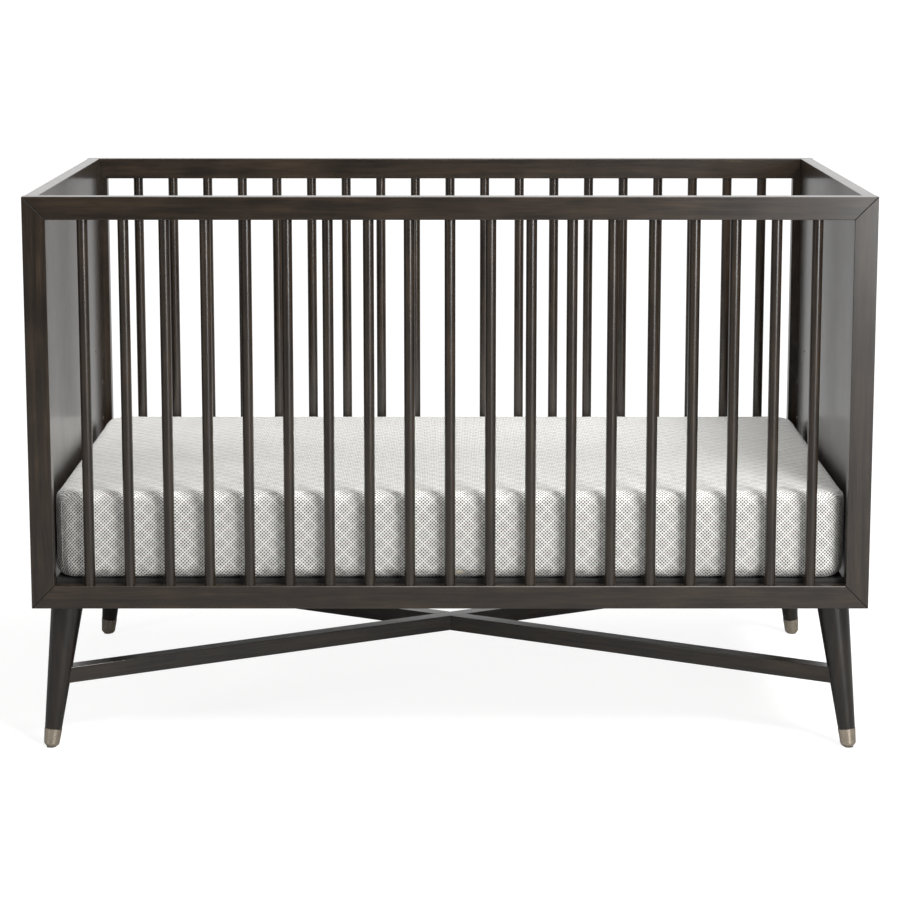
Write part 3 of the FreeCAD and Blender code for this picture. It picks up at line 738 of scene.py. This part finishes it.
@dataclass(frozen=True)
class QuiltedTicking:
    """Knitted polyester ticking quilted to thin wadding in lozenges 60 mm across."""

    lozenge: float = 60 * MM
    knit: float = 1.2 * MM
    colour: str = "#F1EFE9"
    # Painted shade for the quilting furrows.
    shade: str = "#D8D4CA"

    def material(self) -> Material:
        """Builds the ticking."""
        material, tree = blank_material("quilted_polyester_ticking")
        place = add(tree, "TexCoord", out="Object")
        turned = add(
            tree, "Mapping",
            inputs={"Vector": place, "Rotation": (0.0, 0.0, math.pi / 4)},
        )
        lines = [
            add(
                tree, "TexWave", {"bands_direction": way},
                {"Vector": turned, "Scale": 0.314 / self.lozenge}, out="Fac"
            )
            for way in ("X", "Y")
        ]
        low = add(tree, "Math", {"operation": "MINIMUM"}, {0: lines[0], 1: lines[1]})
        puff_and_painted_shade = add(tree, "MapRange", inputs={"Value": low, "From Max": 0.3})
        loops = add(
            tree, "TexVoronoi", inputs={"Vector": place, "Scale": 1 / self.knit}
        )
        # Painted shade in the quilting furrows, the full colour on the puffs.
        colour = add(
            tree, "Mix", {"data_type": "RGBA"},
            {0: puff_and_painted_shade, 6: linear(self.shade), 7: linear(self.colour)}, out=2
        )
        quilting = add(
            tree, "Bump", inputs={"Height": puff_and_painted_shade, "Strength": 0.8, "Distance": 3 * MM}
        )
        relief = add(tree, "Bump", inputs={
            "Height": loops, "Strength": 0.3, "Distance": 0.3 * MM, "Normal": quilting,
        })
        rough = add(
            tree, "MapRange", inputs={"Value": loops, "To Min": 0.75, "To Max": 0.9}
        )
        finish_surface(
            tree,
            {
                "Base Color": colour, "Roughness": rough, "Normal": relief, "IOR": 1.45,
                "Sheen Weight": 0.3, "Sheen Roughness": 0.5,
            },
        )
        return material


# ---------------------------------------------------------------- sub-assemblies


@dataclass
class Timber:
    """The stained members: side frames, end panels, legs, blocks and stretchers."""

    nodes: dict[str, Piece]
    leg_lean: float = 0.09
    wood: StainedWood = field(default_factory=StainedWood)
    # A darker copy of the same stain for the legs: painted shade.
    turned: StainedWood = field(
        default_factory=lambda: StainedWood(
            dark="#100B07", light="#231A12", rubbed_and_highlit="#372E26"
        )
    )

    def grain_of(self, name: str) -> Triple:
        """Says how the fibres of a member run.

        Args:
            name: The member's node.

        Returns:
            The turn that lays them along X.
        """
        low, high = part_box(name)
        if name.endswith("_leg"):
            side = 1.0 if low.x + high.x > 0 else -1.0
            return (0.0, math.pi / 2 - self.leg_lean * side, 0.0)
        if name.startswith("stretcher"):
            across = high - low
            slope = math.atan2(across.y, across.x)
            return (0.0, 0.0, -slope if name.endswith("rising") else slope)
        if "rail" in name or "block" in name:
            return Grain.LENGTHWISE.value
        return Grain.UPRIGHT.value

    def dress(self) -> None:
        """Gives each member wood of its own."""
        words = ("rail", "stile", "spindles", "_leg", "panel", "block", "stretcher")
        plain = ("dowels", "screw", "inserts")
        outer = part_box("front_left_stile")[0].x
        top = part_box("front_top_rail")[1].z
        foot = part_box("front_bottom_rail")[0].z
        mitres = (-outer - top, -outer + foot)
        for seed, name in enumerate(sorted(self.nodes)):
            if any(w in name for w in words) and not any(p in name for p in plain):
                mitred = mitres if name.endswith(("_rail", "_stile")) else None
                # The legs get the darker copy of the stain: painted shade.
                stock = self.turned if name.endswith("_leg") else self.wood
                wood = stock.material(name, self.grain_of(name), seed + 1, mitred)
                dress(self.nodes[name], wood)
                LOG.info("%s: stained wood", name)


@dataclass
class Hardware:
    """Ferrules, glides, dowels, cams, inserts, bolts and screws."""

    nodes: dict[str, Piece]

    def dress(self) -> None:
        """Gives each fitting its metal, plastic or beech."""
        nickel = WorkedMetal(
            "brushed_nickel_plate", tone="#CDC0AF", stain="#BDAF9E",
            line_spacing=0.35 * MM, line_squash=(0.02, 0.02, 1.0), smoothest=0.24,
            roughest=0.32, blotch=16 * MM, anisotropy=0.5,
        ).material()
        zinc = WorkedMetal(
            "bright_zinc_plate", tone="#96989A", stain="#6E7173", line_spacing=1.2 * MM,
            line_squash=(1.0, 1.0, 1.0), smoothest=0.3, roughest=0.48, blotch=4 * MM,
        ).material()
        nylon = CastSkin(
            "moulded_nylon", "#7C756F", "#8E867D", 0.8 * MM, 0.5, 0.66
        ).material()
        beech_in = RawBeech().material(Grain.LENGTHWISE.value)
        kinds = {
            "ferrule": nickel, "glide": nylon, "dowels": beech_in, "cam": zinc,
            "insert": zinc, "screw": zinc, "bolt": zinc,
        }
        for name in sorted(self.nodes):
            for word, material in kinds.items():
                if word in name:
                    dress(self.nodes[name], material)
                    LOG.info("%s: %s", name, material.name)
                    break


@dataclass
class SpringBase:
    """The welded steel base that carries the mattress."""

    nodes: dict[str, Piece]

    def dress(self) -> None:
        """Powder-coats the tubes, bars, wires and hooks."""
        steel = CastSkin(
            "powder_coated_steel", "#2C2B2A", "#4A4846", 0.9 * MM, 0.42, 0.58
        ).material()
        for name in sorted(self.nodes):
            if name.startswith("support") or name.endswith(("_tube", "_hook")):
                dress(self.nodes[name], steel)
                LOG.info("%s: %s", name, steel.name)


@dataclass
class ClothPress:
    """Blows a closed cloth skin up a little, for a natural, uneven surface."""

    voxel: float
    pressure: float
    frames: int
    cap: float
    stiffness: float = 15.0
    slack: float = 0.0
    settled_share: float = 0.98

    def swell(self, obj: Piece) -> None:
        """Remeshes an object and lets pressure act on it.

        Args:
            obj: The closed skin.
        """
        grid = obj.modifiers.new("even_faces", "REMESH")
        grid.mode = "VOXEL"
        grid.voxel_size = self.voxel
        settle_modifiers(obj)
        start = [v.co.copy() for v in obj.data.vertices]
        cloth = obj.modifiers.new("air", "CLOTH")
        settings = cloth.settings
        settings.quality = 4
        settings.mass = 0.3
        settings.tension_stiffness = self.stiffness
        settings.compression_stiffness = self.stiffness
        settings.shear_stiffness = self.stiffness / 3
        settings.bending_stiffness = 0.4
        settings.use_pressure = True
        settings.uniform_pressure_force = self.pressure
        settings.shrink_min = -self.slack
        settings.effector_weights.gravity = 0.0
        cloth.point_cache.frame_end = self.frames + 1
        scene = bpy.context.scene
        for frame in range(1, self.frames + 1):
            scene.frame_set(frame)
        settle_modifiers(obj)
        scene.frame_set(1)
        moves = [
            v.co - origin for v, origin in zip(obj.data.vertices, start, strict=True)
        ]
        longest = sorted(m.length for m in moves)[int(self.settled_share * len(moves))]
        share = min(1.0, self.cap / longest)
        LOG.info("%s: pressure moved it %.1f mm", obj.name, longest / MM)
        for vertex, origin, move in zip(obj.data.vertices, start, moves, strict=True):
            move *= share
            if move.length > self.cap:
                move *= self.cap / move.length
            vertex.co = origin + move


def rounded_box(
    name: str, low: Vector, high: Vector, corner: float, edge: float
) -> Piece:
    """Makes a box with round upright corners and softer round edges.

    Args:
        name: The object's name.
        low: Its lowest corner.
        high: Its highest corner.
        corner: The radius of the upright corners.
        edge: The radius of the other edges.

    Returns:
        The object.
    """
    bm = bmesh.new()
    bmesh.ops.create_cube(bm, size=1.0)
    bmesh.ops.scale(bm, vec=high - low, verts=bm.verts)
    bmesh.ops.translate(bm, vec=(high + low) / 2, verts=bm.verts)
    tall = (high - low).z / 2

    def rise(e: bmesh.types.BMEdge) -> float:
        """Says how much higher one end of an edge is than the other."""
        return abs(e.verts[0].co.z - e.verts[1].co.z)

    def round_off(
        edges: list[bmesh.types.BMEdge], radius: float, segments: int
    ) -> None:
        """Rounds edges to a radius."""
        bmesh.ops.bevel(
            bm, geom=edges, offset=radius, affect="EDGES", segments=segments,
            profile=0.5, material=-1,
        )

    round_off([e for e in bm.edges if rise(e) > tall], corner, 10)
    rims = [
        e
        for e in bm.edges
        if rise(e) < 1e-6
        and any(abs(f.normal.z) > 0.9 for f in e.link_faces)
        and any(abs(f.normal.z) < 0.1 for f in e.link_faces)
    ]
    round_off(rims, edge, 5)
    bmesh.ops.recalc_face_normals(bm, faces=bm.faces)
    return object_of(bm, name)


@dataclass
class Mattress:
    """The crib mattress: a quilted cover over pads, border foam and pocketed coils."""

    nodes: dict[str, Piece]
    corner: float = 43 * MM
    edge: float = 15 * MM
    shrink: float = 2.0 * MM
    cover: Piece | None = None

    def build(self) -> None:
        """Makes the quilted cover, a little swollen between its seams."""
        low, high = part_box("mattress_cover")
        inset = Vector((self.shrink, self.shrink, self.shrink))
        self.cover = rounded_box(
            "quilted_cover", low + inset, high - inset, self.corner, self.edge
        )
        ClothPress(voxel=8 * MM, pressure=3.0, frames=16, cap=1.6 * MM).swell(
            self.cover
        )
        for vertex in self.cover.data.vertices:
            vertex.co.z = max(vertex.co.z, low.z)
        dress(self.cover, QuiltedTicking().material())
        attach(self.cover, "mattress")
        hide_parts("mattress_cover")
        LOG.info("%s: %d faces", self.cover.name, len(self.cover.data.polygons))

    def dress(self) -> None:
        """Finishes the filling that the cover hides."""
        felt = OpenFilling("needled_fibre_pad", "#E9E3D3", "#CFC7B2", 1.1 * MM)
        foam = OpenFilling("open_cell_foam", "#EEE2B8", "#D9CB9C", 0.8 * MM)
        pocket = OpenFilling("spunbonded_pocket_cloth", "#F0F0EE", "#D5D6D4", 0.9 * MM)
        for name, finish in (
            ("mattress_top_pad", felt),
            ("mattress_bottom_pad", felt),
            ("mattress_border_foam", foam),
            ("mattress_coils", pocket),
        ):
            dress(self.nodes[name], finish.material())
            LOG.info("%s: %s", name, finish.name)


@dataclass
class FittedSheet:
    """The fitted sheet: one cut of cotton with four sewn corners and an elastic hem."""

    corner: float = 45 * MM
    edge: float = 16 * MM
    tuck: float = 90 * MM
    voxel: float = 7 * MM
    proud: float = 4.5 * MM
    cloth_thickness: float = 0.6 * MM
    seam: float = 1.8 * MM
    seam_proud: float = 0.2 * MM
    hem_width: float = 12 * MM
    gather_height: float = 42 * MM
    gathers: float = 34.0
    pucker: float = 5 * MM
    pucker_lift: float = 0.8
    seam_span: float = 124 * MM
    seam_points: int = 27
    seam_fan: float = 50.0
    seam_ray: float = 0.2
    hem_rise: float = 0.75 * MM
    hem_ripple: float = 0.15 * MM
    hem_gather: float = 1.5 * MM
    hem_cuts: int = 120

    low: Vector = field(init=False)
    high: Vector = field(init=False)
    middle: Vector = field(init=False)
    reach: Vector = field(init=False)

    def __post_init__(self) -> None:
        """Takes the sheet's place from the model."""
        self.low, self.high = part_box("fitted_sheet")
        self.middle = (self.low + self.high) / 2
        self.reach = (self.high - self.low) / 2

    def build(self, mattress: Mattress) -> None:
        """Makes the sheet over the mattress.

        Args:
            mattress: The mattress that it is stretched on; not used.
        """
        skin = rounded_box(
            "fitted_cotton_sheet", self.low, self.high, self.corner, self.edge
        )
        ClothPress(
            voxel=self.voxel, pressure=4.0, frames=18, cap=self.proud, slack=0.01
        ).swell(skin)
        self.gather(skin)
        self.open_underside(skin)
        self.lay_out(skin)
        cotton = PrintedCotton().material()
        trims = [*self.seams(skin), self.hem()]
        thick = skin.modifiers.new("cloth_thickness", "SOLIDIFY")
        thick.thickness = self.cloth_thickness
        thick.offset = 1.0
        settle_modifiers(skin)
        dress(skin, cotton)
        for trim in trims:
            dress(trim, SewnEdge().material(trim.name))
            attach(trim, "mattress")
            LOG.info("%s: %d faces", trim.name, len(trim.data.polygons))
        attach(skin, "mattress")
        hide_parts("fitted_sheet")
        LOG.info("%s: %d faces", skin.name, len(skin.data.polygons))

    def gather(self, skin: Piece) -> None:
        """Puckers the closed skin low on its sides, where the elastic draws it in."""
        for vertex in skin.data.vertices:
            rise = (vertex.co.z - self.low.z) / self.gather_height
            place = vertex.co - self.middle
            if rise < 1 and self.from_edge(place) < self.edge:
                normal = Vector((vertex.normal.x, vertex.normal.y, 0.0))
                pucker = noise.noise(place * self.gathers) * (1 - rise)
                vertex.co += normal * self.pucker * pucker
                vertex.co.z += abs(pucker) * self.pucker * self.pucker_lift

    def seams(self, skin: Piece) -> list[Piece]:
        """Sews the four corner seams, from the top's rim down to the hem.

        Args:
            skin: The sheet before it gets its thickness.

        Returns:
            The seams.
        """
        tree = BVHTree.FromObject(skin, bpy.context.evaluated_depsgraph_get())
        names = {
            (-1, -1): "front_left", (1, -1): "front_right", (-1, 1): "rear_left",
            (1, 1): "rear_right",
        }
        found = []
        fan = math.radians(self.seam_fan)
        for (side, face), name in names.items():
            inner = self.high - Vector((self.corner, self.corner, 0.0))
            outward = Vector((side, face, 0.0)).normalized()
            path = []
            for step in range(self.seam_points):
                share = 1 - 2 * step / (self.seam_points - 1)
                turn = math.radians(self.seam_fan * share)
                off = self.seam_span / 2 * math.tan(turn) / math.tan(fan)
                start = Vector((side * inner.x, face * inner.y, self.middle.z + off))
                start += outward * self.seam_ray
                hit = tree.ray_cast(start, -outward)[0]
                if hit is not None:
                    path.append(hit + outward * self.seam_proud)
            found.append(self.cord_of_cloth(name + "_corner_seam", path, self.seam))
        return found

    def cord_of_cloth(self, name: str, path: list[Vector], width: float) -> Piece:
        """Makes a narrow rolled edge along a path.

        Args:
            name: The piece's name.
            path: The points that it follows.
            width: How wide it is.

        Returns:
            The piece.
        """
        curve = bpy.data.curves.new(name, "CURVE")
        curve.dimensions = "3D"
        curve.bevel_depth = width / 2
        curve.bevel_resolution = 2
        curve.use_fill_caps = True
        line = curve.splines.new("NURBS")
        line.points.add(len(path) - 1)
        for point, place in zip(line.points, path, strict=True):
            point.co = (*place, 1.0)
        line.order_u = 3
        line.use_endpoint_u = True
        shape = bpy.data.objects.new(name, curve)
        bpy.context.scene.collection.objects.link(shape)
        bpy.context.view_layer.update()
        mesh = bpy.data.meshes.new_from_object(shape)
        bpy.data.objects.remove(shape)
        return link_mesh(name, mesh)

    def hem(self) -> Piece:
        """Makes the elastic hem, a flat gathered band round the opening underneath."""
        bm = bmesh.new()
        bmesh.ops.create_grid(bm, x_segments=1, y_segments=1, size=0.5)
        inner = Vector((self.high.x - self.tuck, self.high.y - self.tuck, 0.5))
        bmesh.ops.scale(bm, vec=inner * 2, verts=bm.verts)
        bmesh.ops.subdivide_edges(
            bm, edges=bm.edges, cuts=self.hem_cuts, use_grid_fill=False
        )
        rim = [e for e in bm.edges if e.is_boundary]
        bmesh.ops.delete(bm, geom=bm.faces, context="FACES_ONLY")
        band = bmesh.ops.extrude_edge_only(bm, edges=rim)
        outer = [v for v in band["geom"] if isinstance(v, bmesh.types.BMVert)]
        for vertex in outer:
            wave = math.sin(vertex.co.x * 620) * math.cos(vertex.co.y * 590)
            width = self.hem_width + self.hem_gather * wave
            for axis in (0, 1):
                place = vertex.co[axis]
                if abs(abs(place) - inner[axis]) < 1e-6:
                    vertex.co[axis] += math.copysign(width, place)
        for vertex in bm.verts:
            ripple = math.sin(vertex.co.x * 410) + math.cos(vertex.co.y * 430)
            vertex.co.z = self.low.z + self.hem_rise + self.hem_ripple * ripple
        band_piece = object_of(bm, "elastic_hem")
        thick = band_piece.modifiers.new("folded_cloth", "SOLIDIFY")
        thick.thickness = self.cloth_thickness
        thick.offset = 0.0
        settle_modifiers(band_piece)
        return band_piece

    def open_underside(self, skin: Piece) -> None:
        """Cuts the opening under the mattress out of the closed skin."""
        bm = bmesh.new()
        bm.from_mesh(skin.data)
        for vertex in bm.verts:
            vertex.co.z = max(vertex.co.z, self.low.z)
        gone = [
            f
            for f in bm.faces
            if f.normal.z < -0.7
            and self.from_edge(f.calc_center_median() - self.middle) > self.tuck
        ]
        bmesh.ops.delete(bm, geom=gone, context="FACES")
        bm.to_mesh(skin.data)
        bm.free()

    def from_edge(self, place: Vector) -> float:
        """Says how far inside the outline a point is."""
        return min(self.reach.x - abs(place.x), self.reach.y - abs(place.y))

    def lay_out(self, skin: Piece) -> None:
        """Gives the sheet a UV map in metres of the flat cloth."""
        layer = skin.data.uv_layers.new(name="cut")
        vertices = skin.data.vertices
        for face in skin.data.polygons:
            centre = face.center - self.middle
            for loop in face.loop_indices:
                place = vertices[skin.data.loops[loop].vertex_index].co - self.middle
                layer.data[loop].uv = self.flat_place(place, centre, face.normal)

    def flat_place(
        self, place: Vector, centre: Vector, normal: Vector
    ) -> tuple[float, float]:
        """Finds a point of the sheet on the flat cut.

        Args:
            place: The point, from the mattress's middle.
            centre: The middle of its face.
            normal: The face's normal.

        Returns:
            The two flat coordinates in metres.
        """
        if normal.z > 0.75:
            return (place.x, place.y)
        reach = self.reach
        inner = Vector((reach.x - self.corner, reach.y - self.corner))
        turn = math.atan2(
            max(abs(centre.x) - inner.x, 0.0), max(abs(centre.y) - inner.y, 0.0)
        )
        lengthwise = turn < math.pi / 4
        if normal.z < -0.75:
            lengthwise = reach.y - abs(centre.y) < reach.x - abs(centre.x)
        here = math.atan2(
            max(abs(place.x) - inner.x, 0.0), max(abs(place.y) - inner.y, 0.0)
        )
        if lengthwise:
            along = math.copysign(
                min(abs(place.x), inner.x) + self.corner * here, place.x
            )
            down = self.down_side(reach.y - abs(place.y), reach.z - place.z)
            return (along, math.copysign(reach.y - self.edge + down, place.y))
        along = math.copysign(
            min(abs(place.y), inner.y) + self.corner * (math.pi / 2 - here), place.y
        )
        down = self.down_side(reach.x - abs(place.x), reach.z - place.z)
        return (math.copysign(reach.x - self.edge + down, place.x), along)

    def down_side(self, inward: float, depth: float) -> float:
        """Measures the cloth from where the top ends, over the edge and down.

        Args:
            inward: How far inside the outline the point is.
            depth: How far below the top it is.

        Returns:
            The length of cloth.
        """
        if depth < self.edge:
            rise = self.edge - depth
            run = self.edge - max(inward, 0.0)
            return self.edge * math.atan2(max(run, 0.0), rise)
        return self.edge * (math.pi / 2 - 1) + depth


# ---------------------------------------------------------------- studio


@dataclass(frozen=True)
class Softbox:
    """A square soft box that the camera doesn't see: its power is in watts."""

    name: str
    place: Triple
    aim: Triple
    size: float
    power: float

    def hang(self) -> None:
        """Hangs the soft box and turns it to what it faces."""
        data = bpy.data.lights.new(self.name, "AREA")
        data.size = self.size
        data.energy = self.power
        lamp = bpy.data.objects.new(self.name, data)
        bpy.context.scene.collection.objects.link(lamp)
        place = Vector(self.place)
        facing = (Vector(self.aim) - place).to_track_quat("-Z", "Y")
        lamp.matrix_world = Matrix.LocRotScale(place, facing, None)
        lamp.visible_camera = False


SOFTBOXES = (
    Softbox("key_softbox", (2.2, -2.9, 4.2), (0.1, 0.0, 0.6), 1.5, 283.0),
    Softbox("side_softbox", (2.1, -4.3, 0.85), (0.2, 0.0, 0.75), 1.3, 60.0),
    Softbox("fill_softbox", (-3.6, -3.0, 1.9), (0.0, 0.0, 0.5), 1.2, 54.0),
    Softbox("top_softbox", (0.5, -0.5, 3.2), (0.0, 0.0, 0.4), 2.0, 66.0),
)


@dataclass
class Studio:
    """A white studio: pale floor, white surroundings, soft boxes and the camera."""

    camera_place: Triple = (0.0, -4.357, 1.3295)
    camera_pitch: float = 8.84
    lens: float = 98.64
    shift: float = -0.13
    sensor: float = 36.0
    floor_span: float = 160.0
    floor_tone: str = "#8C8C8B"
    floor_glow: float = 0.86
    sweep_glow: float = 0.42
    surround: float = 0.14
    backdrop: float = 1.0

    def build(self) -> None:
        """Makes the floor, the surroundings, the lights and the camera."""
        self.build_floor()
        self.build_world()
        for softbox in SOFTBOXES:
            softbox.hang()
        self.build_camera()
        bpy.context.scene.view_settings.view_transform = "Standard"

    def build_floor(self) -> None:
        """Lays the floor, a matt white sweep lit a little from below."""
        bm = bmesh.new()
        bmesh.ops.create_grid(bm, x_segments=1, y_segments=1, size=self.floor_span / 2)
        floor = object_of(bm, "floor")
        material, tree = blank_material("matt_white_sweep")
        seen = add(tree, "LightPath")
        place = add(tree, "TexCoord", out="Object")
        behind = add(tree, "SeparateXYZ", inputs={"Vector": place}, out="Y")
        swept = add(tree, "MapRange", {"interpolation_type": "SMOOTHSTEP"}, {
            "Value": behind, "From Min": 0.6, "From Max": 2.6, "To Max": self.sweep_glow
        })
        far = add(
            tree, "VectorMath", {"operation": "LENGTH"}, {"Vector": place}, out="Value"
        )
        even = add(tree, "MapRange", inputs={
            "Value": far, "From Min": 1.5, "From Max": 5.0, "To Min": self.floor_glow,
            "To Max": 1.0,
        })
        shown = add(tree, "Math", {"operation": "MULTIPLY"}, {0: seen, 1: even})
        glow = add(tree, "Math", {"operation": "MAXIMUM"}, {0: shown, 1: swept})
        finish_surface(
            tree,
            {
                "Base Color": linear(self.floor_tone), "Roughness": 0.9,
                "Emission Color": linear("#FFFFFF"), "Emission Strength": glow,
            },
        )
        dress(floor, material)

    def build_world(self) -> None:
        """Surrounds the scene with even white light."""
        world = bpy.data.worlds.new("white_surround")
        world.use_nodes = True
        tree = world.node_tree
        tree.nodes.clear()
        rays = add(tree, "LightPath")
        way = add(tree, "TexCoord", out="Generated")
        behind = add(tree, "SeparateXYZ", inputs={"Vector": way}, out="Y")
        white = add(tree, "MapRange", {"interpolation_type": "SMOOTHSTEP"}, {
            "Value": behind, "From Min": 0.5, "From Max": 0.95, "To Min": self.surround,
            "To Max": self.backdrop,
        })
        strength = add(tree, "Math", {"operation": "MAXIMUM"}, {0: white, 1: rays})
        light = add(
            tree, "Background",
            inputs={"Color": linear("#FFFFFF"), "Strength": strength},
        )
        end = tree.nodes.new("ShaderNodeOutputWorld")
        tree.links.new(light, end.inputs["Surface"])
        bpy.context.scene.world = world

    def build_camera(self) -> None:
        """Sets the camera up in front, a little above the rails."""
        data = bpy.data.cameras.new("camera")
        data.lens = self.lens
        data.sensor_width = self.sensor
        data.shift_y = self.shift
        camera = bpy.data.objects.new("camera", data)
        bpy.context.scene.collection.objects.link(camera)
        camera.location = self.camera_place
        camera.rotation_euler = (math.radians(90.0 - self.camera_pitch), 0.0, 0.0)
        bpy.context.scene.camera = camera


def main() -> None:
    """Builds and dresses the crib, sub-assembly by sub-assembly, and lights it."""
    logging.basicConfig(level=logging.INFO, format="%(name)s: %(message)s")
    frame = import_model()
    nodes = frame["nodes"]
    Timber(nodes).dress()
    Hardware(nodes).dress()
    SpringBase(nodes).dress()
    mattress = Mattress(nodes)
    mattress.build()
    mattress.dress()
    FittedSheet().build(mattress)
    Studio().build()


if __name__ == "__main__":
    main()
